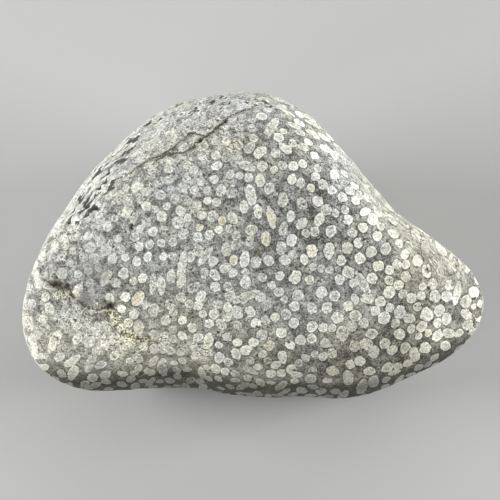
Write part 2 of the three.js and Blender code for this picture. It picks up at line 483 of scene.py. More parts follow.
@dataclass
class CoralliteBed:
    """The tubes that the pebble's surface cuts through, and which of them each face shows."""

    seed: int = 11
    darts: int = 36000
    clustered: float = 0.6  # share of the darts that are thrown beside a kept corallite
    radius: float = 1.14
    radius_spread: float = 0.1
    growth: float = 0.28  # how much wider the corallites are towards the +X end
    swollen: Patch = Patch(-38, -32, 15.0, 0.2)  # where they are wider too
    stretch: float = 0.28
    closeness: float = 0.98
    looseness: float = 0.07  # the mean of the extra spacing that each corallite asks for
    wobble: float = 0.22
    tipped: float = 0.09  # share of the corallites that lie over much further
    reach: float = 2.3
    growth_way: tuple[float, float, float] = (0.0, -0.2, 1.0)
    fanning: float = 0.6  # how far the tubes bend from that way towards the surface's normal
    near_keep: float = 0.5  # how far the near side keeps that way
    opening: float = 0.8  # how far they bend where the surface runs along them
    search: float = 0.5  # a face near a place is looked for this far along X
    near_turn: float = -0.8  # the normal's Y at which the near side counts in full
    edge_on: float = 0.35  # below this share of facing, the surface runs along the tubes
    seat_height: float = 15.0  # landmarks are seated on faces above this height
    base_width: float = 0.94  # factor on the radius towards the -X end
    growth_span: tuple[float, float] = (-25.0, 40.0)  # along X, where they widen
    pull_span: tuple[float, float] = (0.2, 1.4)  # how strongly single corallites follow their region
    tipped_sway: float = 0.6
    tipped_side: float = -0.5  # where the normal's Y is below this, none lies over much further
    tight_span: tuple[float, float] = (30.0, 42.0)  # along X, where the extra spacing falls
    tight_share: float = 0.6
    first_darts: int = 200  # more than these are kept before any is thrown beside another
    elbow: float = 1.02  # how far apart neighbours are thrown, in sums of their radii
    warm_rarity: int = 14  # a higher power makes warm corallites rarer
    nowhere: float = 9.0  # the own measure of a face that shows no corallite
    grains: tuple[Grain, ...] = (
        Grain((4, 2, 52), 13.0, Lie.AWAY, 1.1),
        Grain((-18, -14, 46), 7.0, Lie.AWAY, 1.3),
        Grain((-48, -29, 30), 9.0, Lie.UP_RIGHT, 1.1),
        Grain((12, 24, 46), 9.0, Lie.UP_LEFT, 1.0),
        Grain((30, 9, 41), 6.5, Lie.ALONG_NOSE, 1.8),
        Grain((39, 0, 39), 6.0, Lie.ALONG_NOSE, 2.0),
        Grain((47, -5, 34), 6.0, Lie.ALONG_NOSE, 1.8),
        Grain((24, 24, 26), 10.0, Lie.ALONG_NOSE, 1.6),
        Grain((0, 38, 20), 16.0, Lie.ROUND_BACK, 1.5),
        Grain((-42, 20, 22), 13.0, Lie.UP_RIGHT, 1.5),
    )
    landmarks: tuple[Landmark, ...] = (
        Landmark(-17.5, -14.3, 0.95, (0.3, 0.94, 0.12), 0.8),
        Landmark(4.3, -0.5, 1.1, (-0.16, 0.8, 0.5), 0.8, 0.9),
        Landmark(1.0, 0.8, 1.05, (-0.1, 0.7, 0.7), 0.7),
        Landmark(-2.4, 2.0, 1.05, (-0.08, 0.66, 0.7), 0.6),
        Landmark(-4.8, -10.0, 1.05, (0.0, 0.1, 0.98), 0.6, 1.0),
        Landmark(13.2, 19.4, 1.25, (0.1, 0.3, 0.9), 1.0),
        Landmark(15.7, 20.0, 1.15, (0.2, 0.4, 0.9), 1.0),
        Landmark(14.8, 15.7, 1.2, (0.2, 0.2, 0.9), 1.0),
        Landmark(12.1, 12.8, 1.15, (0.1, 0.3, 0.9), 1.0),
        Landmark(9.2, 8.9, 1.1, (0.1, 0.6, 0.75), 0.9),
        Landmark(22.0, 12.5, 1.1, (0.1, 0.5, 0.8), 1.0),
        Landmark(24.5, 9.2, 1.2, (0.1, 0.5, 0.8), 1.0),
        Landmark(24.6, 5.0, 1.25, (0.7, 0.35, 0.7), 0.9),
        Landmark(28.0, 6.3, 1.45, (0.3, 0.2, 0.9), 1.0),
        Landmark(26.9, 2.4, 0.95, (0.9, 0.5, 0.12), 0.8),
        Landmark(28.9, 0.7, 1.5, (0.2, -0.1, 0.9), 1.0),
        Landmark(27.4, -2.2, 1.3, (0.3, 0.0, 0.9), 0.8),
        Landmark(29.8, -3.2, 1.25, (0.4, 0.0, 0.9), 0.9),
        Landmark(34.0, -2.3, 1.05, (0.9, -0.25, 0.2), 1.0),
        Landmark(35.4, -4.4, 1.1, (0.7, -0.3, 0.6), 1.0),
        Landmark(36.8, -6.7, 1.2, (0.3, -0.2, 0.9), 0.9),
        Landmark(39.9, -7.6, 1.35, (0.1, 0.2, 0.95), 1.0),
        Landmark(42.2, -10.0, 1.25, (0.1, 0.4, 0.9), 1.0),
        Landmark(44.0, -11.3, 1.1, (0.2, 0.6, 0.8), 0.9),
        Landmark(48.6, -8.6, 1.4, (0.3, 0.1, 0.9), 1.0),
        Landmark(49.9, -14.1, 1.05, (0.3, 0.8, 0.6), 0.9),
        Landmark(-43.1, -16.2, 1.3, (0.3, 0.4, 0.8), 0.7, 0.5),
        Landmark(-38.9, -19.2, 1.1, (0.2, 0.1, 0.95), 0.6, 1.0),
        Landmark(-34.8, -17.7, 1.15, (0.0, 0.1, 0.95), 0.3),
        Landmark(-35.7, -13.0, 1.15, (0.4, 0.4, 0.8), 0.9),
        Landmark(-35.3, -15.3, 1.15, (0.0, 0.1, 0.95), 0.8),
        Landmark(-27.9, -18.1, 1.3, (0.4, 0.3, 0.8), 0.8),
        Landmark(-24.2, -15.0, 0.95, (0.1, 0.9, 0.3), 0.7),
        Landmark(-48.8, -26.2, 1.25, (0.35, 0.4, 0.75), 0.8),
        Landmark(-47.1, -26.8, 1.2, (0.3, 0.3, 0.8), 0.9),
        Landmark(-49.6, -29.8, 1.15, (0.55, 0.6, 0.25), 0.9),
        Landmark(-44.8, -30.5, 1.15, (0.6, 0.5, 0.4), 0.9),
        Landmark(4.9, -22.3, 1.1, (0.1, -0.3, 0.9), 0.6, 0.9),
        Landmark(-25.4, -9.0, 1.1, (0.0, 0.0, 1.0), 0.5, 0.9),
    )
    places: np.ndarray = field(init=False)
    axes: np.ndarray = field(init=False)
    radii: np.ndarray = field(init=False)
    traits: np.ndarray = field(init=False)

    def lean_at(self, points: np.ndarray, normals: np.ndarray, strength: np.ndarray | float) -> np.ndarray:
        """Axis directions of the corallites: the growth way bent to the normal, plus each region's pull.

        Args:
            points: Places in millimetres.
            normals: Outward unit normals there.
            strength: How strongly each corallite follows its region's pull.

        Returns:
            Vectors that aren't yet of length 1.
        """
        way = unit(np.array(self.growth_way))
        facing = normals @ way
        near_side = smooth_step(0.0, self.near_turn, normals[..., 1])
        bend = self.fanning * (1.0 - self.near_keep * near_side) * facing
        along = smooth_step(self.edge_on, 0.0, np.abs(facing))
        bend += np.where(facing < 0.0, -self.opening, self.opening) * along
        axes = unit(way + bend[..., None] * normals)
        for grain in self.grains:
            away = np.linalg.norm(points - np.array(grain.middle), axis=-1)
            pull = grain.tip * strength * np.exp(-((away / grain.reach) ** 2))
            axes += pull[..., None] * np.array(grain.lie.value)
        return axes

    def plant(self, points: np.ndarray, normals: np.ndarray, areas: np.ndarray, sparse: np.ndarray) -> None:
        """Throws darts at the surface and keeps each one that is clear of all those before it.

        Two corallites are clear when the distance between their middles, with the way along the kept
        one's axis shortened by the stretch, is at least the sum of their radii times the spacing, which
        is the closeness and what is added to it. The landmarks are thrown first, and one that isn't
        clear is left out. The first corallites kept then take the landmarks' looks in the order of the
        list, whichever landmarks were left out.

        Args:
            points: Middles of the faces, in millimetres.
            normals: Outward unit normals of the faces.
            areas: Areas of the faces.
            sparse: Extra spacing at each face, 0 where the corallites are packed close.
        """
        rng = np.random.default_rng(self.seed)
        above = np.flatnonzero(points[:, 2] > self.seat_height)
        marks = np.array([[mark.x, mark.y] for mark in self.landmarks])
        seats = [above[np.argmin(np.linalg.norm(points[above, :2] - mark, axis=1))] for mark in marks]
        picks = rng.choice(len(points), self.darts, p=areas / areas.sum())
        picks = np.concatenate([np.array(seats), picks])
        order = np.argsort(points[:, 0])
        ordered = points[order]
        radii = self.radius + self.radius_spread * rng.normal(size=len(picks)).clip(-2.0, 2.0)
        radii = radii * (self.base_width + self.growth * smooth_step(*self.growth_span, points[picks, 0]))
        radii = radii * (1.0 + self.swollen.weight(points[picks]))
        strength = rng.uniform(*self.pull_span, len(picks))
        axes = self.lean_at(points[picks], normals[picks], strength)
        wide = (rng.random(len(picks)) < self.tipped) & (normals[picks, 1] > self.tipped_side)
        sway = rng.normal(size=axes.shape) * np.where(wide, self.tipped_sway, self.wobble)[:, None]
        axes += sway
        for index, mark in enumerate(self.landmarks):
            axes[index] = mark.axis
            radii[index] = mark.radius
        axes = unit(axes)
        tight = self.tight_share * smooth_step(*self.tight_span, points[picks, 0])
        loose = self.looseness * (1.0 - tight)
        spacing = self.closeness + sparse[picks] + loose * rng.exponential(1.0, len(picks))
        count = 0
        spots = points[picks]
        near = np.empty((len(picks), 3))
        near_axes = np.empty((len(picks), 3))
        near_radii = np.empty(len(picks))
        beside = rng.random(len(picks)) < self.clustered
        hosts = rng.random(len(picks))
        ways = unit(rng.normal(size=(len(picks), 3)))
        for index in range(len(picks)):
            if beside[index] and count > self.first_darts:
                host = int(hosts[index] * count)
                offset = np.cross(near_axes[host], ways[index])
                offset *= self.elbow * (near_radii[host] + radii[index]) / np.linalg.norm(offset)
                wanted = near[host] + offset
                low, high = np.searchsorted(ordered[:, 0], (wanted[0] - self.search, wanted[0] + self.search))
                if low == high:
                    continue
                seat = order[low + np.argmin(((ordered[low:high] - wanted) ** 2).sum(axis=1))]
                spots[index] = points[seat]
                axes[index] = unit(self.lean_at(points[seat], normals[seat], strength[index]) + sway[index])
            step = spots[index] - near[:count]
            along = (step * near_axes[:count]).sum(axis=1)
            gap = (step * step).sum(axis=1) - along**2 * (1.0 - self.stretch**2)
            if np.any(gap < (spacing[index] * (near_radii[:count] + radii[index])) ** 2):
                continue
            near[count], near_axes[count], near_radii[count] = spots[index], axes[index], radii[index]
            count += 1
        self.places, self.axes, self.radii = near[:count], near_axes[:count], near_radii[:count]
        self.traits = rng.random((count, 3))
        self.traits[:, 1] = self.traits[:, 1] ** self.warm_rarity
        for index, mark in enumerate(self.landmarks[:count]):
            self.traits[index] = (mark.brightness, mark.warmth, mark.vigour)

    def measures(self) -> np.ndarray:
        """For each corallite, the matrix that turns a step from its middle into its own measure.

        Its first two rows run across the tube, its third along it; a length of 1 is the tube's wall.

        Returns:
            An array of 3 by 3 matrices.
        """
        slanted = np.abs(self.axes[:, 2:3]) < 0.8
        helper = np.where(slanted, np.array([0.0, 0.0, 1.0]), np.array([0.0, 1.0, 0.0]))
        across = unit(np.cross(helper, self.axes))
        over = np.cross(self.axes, across)
        rows = np.stack([across, over, self.axes * self.stretch], axis=1)
        return rows / self.radii[:, None, None]

    def nearest_two(self, middles: np.ndarray) -> tuple[np.ndarray, np.ndarray]:
        """The two corallites whose walls are nearest to each face.

        Args:
            middles: Middles of the faces, in millimetres.

        Returns:
            The numbers of the nearest and the second nearest corallite, -1 where there is none in reach.
        """
        order = np.argsort(middles[:, 0])
        ordered = middles[order]
        best = np.full((2, len(middles)), self.reach)
        which = np.full((2, len(middles)), -1)
        for number, (place, matrix) in enumerate(zip(self.places, self.measures())):
            span = self.reach * self.radii[number] / self.stretch
            low, high = np.searchsorted(ordered[:, 0], (place[0] - span, place[0] + span))
            apart = np.linalg.norm((ordered[low:high] - place) @ matrix.T, axis=1)
            faces = np.flatnonzero(apart < best[1, low:high]) + low
            apart = apart[faces - low]
            first = apart < best[0, faces]
            lead, rest = faces[first], faces[~first]
            best[1, lead], which[1, lead] = best[0, lead], which[0, lead]
            best[0, lead], which[0, lead] = apart[first], number
            best[1, rest], which[1, rest] = apart[~first], number
        found = np.empty_like(which)
        found[:, order] = which
        return found[0], found[1]

    def corner_measure(self, corners: np.ndarray, which: np.ndarray) -> tuple[np.ndarray, np.ndarray]:
        """Each face corner in the measure of the corallite that its face shows.

        Args:
            corners: Face corners in millimetres, shape faces, 4, 3.
            which: The corallite of each face, or -1.

        Returns:
            The corners' own-measure vectors, and the corallite's traits for each corner.
        """
        found = which >= 0
        number = np.where(found, which, 0)
        step = corners - self.places[number][:, None, :]
        measure = np.einsum("fij,fcj->fci", self.measures()[number], step)
        measure[~found] = self.nowhere
        traits = np.repeat(self.traits[number][:, None, :], 4, axis=1)
        return measure, traits


class Socket:
    """A node's output that takes part in Python arithmetic; each operation adds a node."""

    def __init__(self, shader: "Shader", output: bpy.types.NodeSocket) -> None:
        """Keeps the shader that the socket's nodes go into, and the output itself."""
        self.shader = shader
        self.output = output

    def maths(self, operation: str, *values: "Socket | float") -> "Socket":
        """A Math node's result.

        Args:
            operation: The Math node's operation.
            values: Its inputs in order.

        Returns:
            The node's output.
        """
        return self.shader.node("ShaderNodeMath", {"operation": operation}, dict(enumerate(values)))

    def __add__(self, other: "Socket | float") -> "Socket":
        """self + other."""
        return self.maths("ADD", self, other)

    def __radd__(self, other: float) -> "Socket":
        """other + self."""
        return self.maths("ADD", other, self)

    def __sub__(self, other: "Socket | float") -> "Socket":
        """self - other."""
        return self.maths("SUBTRACT", self, other)

    def __rsub__(self, other: float) -> "Socket":
        """other - self."""
        return self.maths("SUBTRACT", other, self)

    def __mul__(self, other: "Socket | float") -> "Socket":
        """self * other."""
        return self.maths("MULTIPLY", self, other)

    def __rmul__(self, other: float) -> "Socket":
        """other * self."""
        return self.maths("MULTIPLY", other, self)

    def least(self, other: "Socket | float") -> "Socket":
        """The smaller of self and other."""
        return self.maths("MINIMUM", self, other)

    def most(self, other: "Socket | float") -> "Socket":
        """The larger of self and other."""
        return self.maths("MAXIMUM", self, other)

    def under(self, other: "Socket | float") -> "Socket":
        """1 where self is less than other, else 0."""
        return self.maths("LESS_THAN", self, other)

    def size(self) -> "Socket":
        """The absolute value."""
        return self.maths("ABSOLUTE", self)

    def step(self, low: "Socket | float", high: "Socket | float") -> "Socket":
        """A soft step from 0 at low to 1 at high.

        Args:
            low: Where the step starts.
            high: Where the step ends; less than low for a falling step.

        Returns:
            The stepped value.
        """
        sockets = {"Value": self, "From Min": low, "From Max": high}
        return self.shader.node("ShaderNodeMapRange", {"interpolation_type": "SMOOTHSTEP"}, sockets)


class Shader:
    """The node tree of one material."""

    def __init__(self, name: str) -> None:
        """Makes an empty material.

        Args:
            name: The material's name.
        """
        self.material = bpy.data.materials.new(name)
        self.material.use_nodes = True
        self.tree = self.material.node_tree
        self.tree.nodes.clear()

    def node(
        self, kind: str, settings: dict[str, object], sockets: dict[str | int, object], output: str | int = 0
    ) -> Socket:
        """Adds a node.

        Args:
            kind: The node's type.
            settings: Its properties, which are set first.
            sockets: Values or links of its inputs, by name, identifier or number.
            output: The output to return, by name or number.

        Returns:
            The chosen output.
        """
        made = self.tree.nodes.new(kind)
        for name, value in settings.items():
            setattr(made, name, value)
        by_identifier = {entry.identifier: entry for entry in made.inputs}
        for name, value in sockets.items():
            entry = by_identifier.get(name) if name in by_identifier else made.inputs[name]
            if isinstance(value, Socket):
                self.tree.links.new(value.output, entry)
            else:
                entry.default_value = value
        return Socket(self, made.outputs[output]) if made.outputs else Socket(self, None)

    def blend(self, first: object, second: object, share: "Socket | float") -> Socket:
        """A colour between two, by the share of the second."""
        sockets = {"Factor_Float": share, "A_Color": first, "B_Color": second}
        return self.node("ShaderNodeMix", {"data_type": "RGBA"}, sockets, 2)

    def vector(self, operation: str, *values: object, output: int = 0) -> Socket:
        """A Vector Math node's result."""
        return self.node("ShaderNodeVectorMath", {"operation": operation}, dict(enumerate(values)), output)

    def scaled(self, colour: object, factor: "Socket | float") -> Socket:
        """A vector or colour times a number."""
        return self.node("ShaderNodeVectorMath", {"operation": "SCALE"}, {0: colour, "Scale": factor})

    def attribute(self, name: str) -> Socket:
        """A vector attribute of the mesh."""
        return self.node("ShaderNodeAttribute", {"attribute_name": name}, {}, "Vector")

    def parts(self, vector: Socket) -> tuple[Socket, Socket, Socket]:
        """The three parts of a vector.

        Args:
            vector: The vector or colour to split.

        Returns:
            Its x, y and z, or red, green and blue.
        """
        split = self.node("ShaderNodeSeparateXYZ", {}, {0: vector})
        outputs = split.output.node.outputs
        return Socket(self, outputs[0]), Socket(self, outputs[1]), Socket(self, outputs[2])

    def noise(self, place: Socket, grain: float, detail: float = 2.0, colour: bool = False) -> Socket:
        """A noise of the given grain size, in millimetres, over places in metres."""
        sockets = {"Vector": place, "Scale": 1.0 / (grain * MM), "Detail": detail, "Roughness": 0.6}
        return self.node("ShaderNodeTexNoise", {}, sockets, 1 if colour else 0)


Colour = tuple[float, float, float, float]


@dataclass(frozen=True)
class CoralStone:
    """The finish of the pebble: a blue-grey matrix, cream corallites, fine granular wear and brown stain,
    with painted light and shade.
    """

    stone_tint: Colour = (0.995, 1.0, 0.918, 1.0)
    cup_tint: Colour = (0.994, 1.0, 0.893, 1.0)
    brown_tint: Colour = (1.0, 0.965, 0.86, 1.0)
    warm_tint: Colour = (1.0, 0.91, 0.64, 1.0)
    # The tint of the painted shade low on the sides and beside the cracks.
    shade_tint: Colour = (1.0, 0.95, 0.78, 1.0)
    olive_tint: Colour = (1.0, 0.97, 0.66, 1.0)
    stain: Colour = (0.09, 0.075, 0.03, 1.0)
    # Colours of painted shade: brown around the pits, near black in their cores, the cracks and the flaked
    # edges.
    pit_shade_brown: Colour = (0.11, 0.09, 0.06, 1.0)
    shadow_black: Colour = (0.035, 0.03, 0.022, 1.0)
    tint_drift: tuple[float, float, float] = (0.05, 0.05, 0.1)  # how far each part of the tint drifts
    warm_drift: tuple[float, float, float] = (0.11, 0.03, -0.24)  # how the tint drifts from cold to warm
    stone_value: float = 0.195
    cup_value: float = 0.6
    crystal_size: float = 0.42  # millimetres, as the grains below
    fine_grain: float = 0.36
    grit_grain: float = 0.9
    mottle_grain: float = 2.6
    cloud_grain: float = 6.0
    broad_grain: float = 18.0
    shake_grain: float = 1.5
    thread_grain: float = 1.7
    warm_grain: float = 11.0
    shake: float = 0.85  # how far the corallites' outlines are shaken, in their own measure
    flake_width: float = 2.3  # millimetres
    flake_length: float = 3.0  # times the width
    streak_width: float = 1.8  # millimetres
    streak_length: float = 12.0  # times the width
    darkest: float = 0.04
    bump_strength: float = 0.7
    specular: float = 0.3
    roughness_low: float = 0.5
    roughness_high: float = 0.75

    def material(self) -> bpy.types.Material:
        """Builds the node tree.

        Returns:
            The finished material.
        """
        s = Shader("coral_stone")
        place = s.node("ShaderNodeTexCoord", {}, {}, "Object")
        blur, pale, bare = s.parts(s.attribute("wear"))
        flaky, pit, stained = s.parts(s.attribute("marks"))
        painted_low_shade, worn_and_lit, streaky = s.parts(s.attribute("shade"))
        fine = s.noise(place, self.fine_grain) - 0.5
        grit = s.noise(place, self.grit_grain, 3.0) - 0.5
        mottle = s.noise(place, self.mottle_grain) - 0.5
        cloud = s.noise(place, self.cloud_grain) - 0.5
        broad = s.noise(place, self.broad_grain) - 0.5
        cells = {"Vector": place, "Scale": 1.0 / (self.crystal_size * MM)}
        crystal = s.parts(s.node("ShaderNodeTexVoronoi", {}, cells, "Color"))[0] - 0.5

        # The own-measure vectors are shaken by noise, so that no corallite is a perfect round.
        stir = s.noise(place, self.shake_grain, 3.0, True)
        shake = s.scaled(s.vector("SUBTRACT", stir, (0.5, 0.5, 0.5)), self.shake)
        near = s.vector("ADD", s.attribute("cup_near"), shake)
        next_near = s.vector("ADD", s.attribute("cup_next"), shake)
        m_near = s.vector("LENGTH", near, output=1)
        m_next = s.vector("LENGTH", next_near, output=1)
        other = m_next.under(m_near)
        m = m_near.least(m_next)
        tone, warmth, vigour = s.parts(s.blend(s.attribute("traits_near"), s.attribute("traits_next"), other))

        across, away, _ = s.parts(place)
        right = across.step(-0.005, 0.02)
        patchy = (cloud * 1.3 + (vigour - 0.75).most(0.0) * 1.6) * (1.0 - right * 0.6)
        haze = (blur + patchy - 0.12).most(0.0).least(1.0)
        softness = 0.05 + haze * 0.22
        body = (m + fine * 0.3 + crystal * haze * 0.35).step(1.0 + softness, 1.0 - softness)
        body = body * (1.0 - haze * 0.6) * (1.0 - bare * 0.8) * (1.0 - streaky * 0.6)
        brown = across.step(0.018, 0.045).most(away.step(-0.012, -0.032))
        rim = (m - 0.86).size().step(0.16, 0.04) * (1.0 - haze * 0.5) * grit.step(-0.12, 0.08)
        core = m.step(0.8, 0.5) * (0.4 - vigour).most(0.0) * 2.5
        touch = (m_next - m_near).size().step(0.12, 0.0) * m.step(1.12, 0.98)
        seam = (m - 1.09).size().step(0.13, 0.03) * (mottle + painted_low_shade * 0.1 + right * 0.08).step(-0.1, 0.1)
        seam = (seam.most(touch) * (1.0 - haze) * grit.step(0.12, -0.08)).least(1.0) * (1.0 - bare)

        gaps = s.parts(s.attribute("fissure_gap"))
        reaches = s.parts(s.attribute("fissure_reach"))
        crack, lip, far_side = self.cracks(gaps, reaches, fine, grit, mottle)
        lamina = s.attribute("lamina")
        chip, ledge, leaf = self.flaking(s, lamina, flaky, mottle, self.flake_width, self.flake_length)
        streak, _, drift = self.flaking(s, lamina, streaky, mottle, self.streak_width, self.streak_length)

        veins = grit.size().step(0.055, 0.0) * mottle.step(-0.08, 0.08) * (0.7 + haze * 0.8)
        threads = s.noise(place, self.thread_grain, 1.0) - 0.5
        threads = threads.size().step(0.022, 0.0) * (0.5 + haze * 0.7)
        stone = self.stone_value + fine * 0.7 + grit * 0.55 + crystal * 0.1 + mottle * 0.32
        stone = stone + veins * 0.42 + threads * 0.36 + haze * 0.05 - right * 0.045 - brown * 0.015
        # Painted light and wear: the matrix is paler on steep sides and listed patches, less under painted
        # shade.
        stone = stone + worn_and_lit.most(0.0) * (1.0 - painted_low_shade) * 0.2
        cup = self.cup_value + fine * 1.6 + grit * 0.9 + crystal * 0.18 + (tone - 0.5) * 0.26
        cup = cup + rim * 0.15 - core * 0.15 + right * 0.02 + brown * 0.06 + across.step(0.032, 0.05) * 0.05
        value = stone + (cup - stone) * body
        sugar = 0.68 + crystal * 0.6 + fine * 2.0 + grit * 1.4
        sugary = (pale * 1.25 + mottle * 1.6 + grit * 0.8 - 0.15).most(0.0).least(0.9)
        value = value + (sugar - value) * sugary
        value = value + (0.24 + fine * 0.3 - value) * bare * 0.9
        value = value + (0.72 + drift * 1.6 - value) * streaky * 0.6
        value = value + (0.5 + leaf * 0.7 + grit * 0.8 - value) * flaky * 0.6 + ledge * 0.16
        value = value + stained * (crystal + fine * 1.5).step(0.05, 0.3) * 0.4
        value = value * (1.0 - seam * (0.7 + right * 0.1)) * (1.0 + broad * 0.35)
        # Painted light and wear lift the value; where the painted shade patches outweigh them, it falls.
        value = value * (0.92 + worn_and_lit.most(0.0) * 0.08 + worn_and_lit.least(0.0) * 0.25)
        value = value + lip * (0.62 - value) * 0.6
        # Painted shade: darker on the cracks' far side and low on the sides of the pebble.
        value = value * (1.0 - far_side * 0.32) * (1.0 - painted_low_shade * (0.77 - body * 0.1))
        specks = (grit * 0.8 - fine * 1.6 - crystal * 0.5).step(0.28, 0.42) * (0.25 + haze * 0.6)
        value = (value * (1.0 - streak * 0.5) * (1.0 - specks)).most(self.darkest)
        tint = s.blend(self.stone_tint, self.cup_tint, body.most(pale * 0.4).most(flaky))
        # The painted shade is also tinted warmer.
        tint = s.blend(tint, self.shade_tint, (painted_low_shade * (1.0 - body) * 0.5).most(far_side * 0.8))
        earthy = (brown * (0.85 - body * 0.45)).most(value.step(0.24, 0.07))
        tint = s.vector("MULTIPLY", tint, s.blend((1.0, 1.0, 1.0, 1.0), self.brown_tint, earthy))
        tint = s.blend(tint, self.warm_tint, (warmth * m.step(1.0, 0.2)).least(1.0) * body)
        tint = s.blend(tint, self.olive_tint, stained * 0.6)
        drifted = s.vector("SUBTRACT", s.noise(place, self.cloud_grain, 4.0, True), (0.5, 0.5, 0.5))
        drifted = s.vector("MULTIPLY_ADD", drifted, self.tint_drift, (1.0, 1.0, 1.0))
        warmly = s.scaled(self.warm_drift, s.noise(place, self.warm_grain, 5.0) - 0.5)
        tint = s.vector("MULTIPLY", tint, s.vector("ADD", drifted, warmly))
        colour = s.scaled(tint, value)
        spots = (stained * 0.7 - crystal * 0.7 - fine * 2.4 + grit * 1.6).step(0.42, 0.6)
        colour = s.blend(colour, self.stain, spots * stained.step(0.0, 0.3) * 0.9)
        # Painted shade in and around the pits, in brown.
        pit_shade = (pit * 1.1 + grit * 0.6 + fine * 0.4).step(0.05, 0.85) * 0.75
        colour = s.blend(colour, self.pit_shade_brown, pit_shade)
        # Painted shadow: the pits' cores, the crack lines and the flaked edges are darkened almost to black.
        dark = (pit * 1.15 + grit * 0.9 + fine * 0.6).step(0.55, 1.1)
        dark = dark.most(crack * 0.9).most(chip * 0.95).least(1.0)
        colour = s.blend(colour, self.shadow_black, dark)

        roughness = self.roughness_low + (1.0 - body) * (self.roughness_high - self.roughness_low)
        height = fine * 0.10 + grit * (0.16 + haze * 0.1) + body * 0.04 - seam * 0.05
        height = height + leaf * flaky * 0.25 - chip * 0.2 - crack * 0.25 + crystal * pale * 0.1
        relief = {"Strength": self.bump_strength, "Distance": MM, "Height": height}
        bump = s.node("ShaderNodeBump", {}, relief)
        looks = {"Base Color": colour, "Roughness": roughness, "Normal": bump}
        looks["Specular IOR Level"] = self.specular
        principled = s.node("ShaderNodeBsdfPrincipled", {}, looks)
        s.node("ShaderNodeOutputMaterial", {}, {"Surface": principled})
        return s.material

    @staticmethod
    def cracks(
        gaps: tuple[Socket, ...], reaches: tuple[Socket, ...], fine: Socket, grit: Socket, mottle: Socket
    ) -> tuple[Socket, Socket, Socket]:
        """The cracks' dark line of painted shade, the pale lip on their near side and the painted shade on
        their far side.

        Args:
            gaps: Signed distances to the cracks, in millimetres.
            reaches: How open each crack is.
            fine: The finest noise, which makes the lines ragged.
            grit: The next noise.
            mottle: The noise that changes the lines' width.

        Returns:
            The three strengths.
        """
        crack = lip = far_side = None
        for gap, reach in zip(gaps, reaches):
            ragged = gap + mottle * 1.3 + grit * 2.0 + fine * 1.2
            width = 0.03 + (mottle + 0.01).most(0.0) * 1.2
            line = (ragged.size() - width * reach).step(0.2, 0.03) * reach.step(0.0, 0.3)
            line = line * (mottle - grit).step(-0.28, -0.14)
            pale = (ragged + 0.5).size().step(0.5, 0.2) * reach * grit.step(-0.08, 0.06)
            shade = (ragged - 0.5).size().step(1.1, 0.1) * reach
            crack = line if crack is None else crack.most(line)
            lip = pale if lip is None else lip.most(pale)
            far_side = shade if far_side is None else far_side.most(shade)
        return crack, lip, far_side

    @staticmethod
    def flaking(
        s: Shader, lamina: Socket, zone: Socket, mottle: Socket, width: float, length: float
    ) -> tuple[Socket, Socket, Socket]:
        """Thin flakes parallel to the pebble's outline: dark edges, pale ledges and uneven faces.

        Args:
            s: The shader that the nodes go into.
            lamina: The way around the rim and the depth inside it, in millimetres.
            zone: How strong the flaking is.
            mottle: The noise that breaks the edges up.
            width: The flakes' width, in millimetres.
            length: How many times longer than wide they are.

        Returns:
            The strength of the edges and of the ledges, and a field for the faces, -0.5 to 0.5.
        """
        drawn = s.vector("MULTIPLY", lamina, (MM / length, MM, MM))
        leaf = s.noise(drawn, width, 3.0) - 0.5
        there = (zone + mottle * 2.2).step(0.35, 0.6)
        edge = (leaf.size() - (mottle + 0.03).most(0.0) * 0.3).step(0.05, 0.02) * there
        ledge = (leaf + 0.1).size().step(0.06, 0.02) * there
        return edge, ledge, leaf


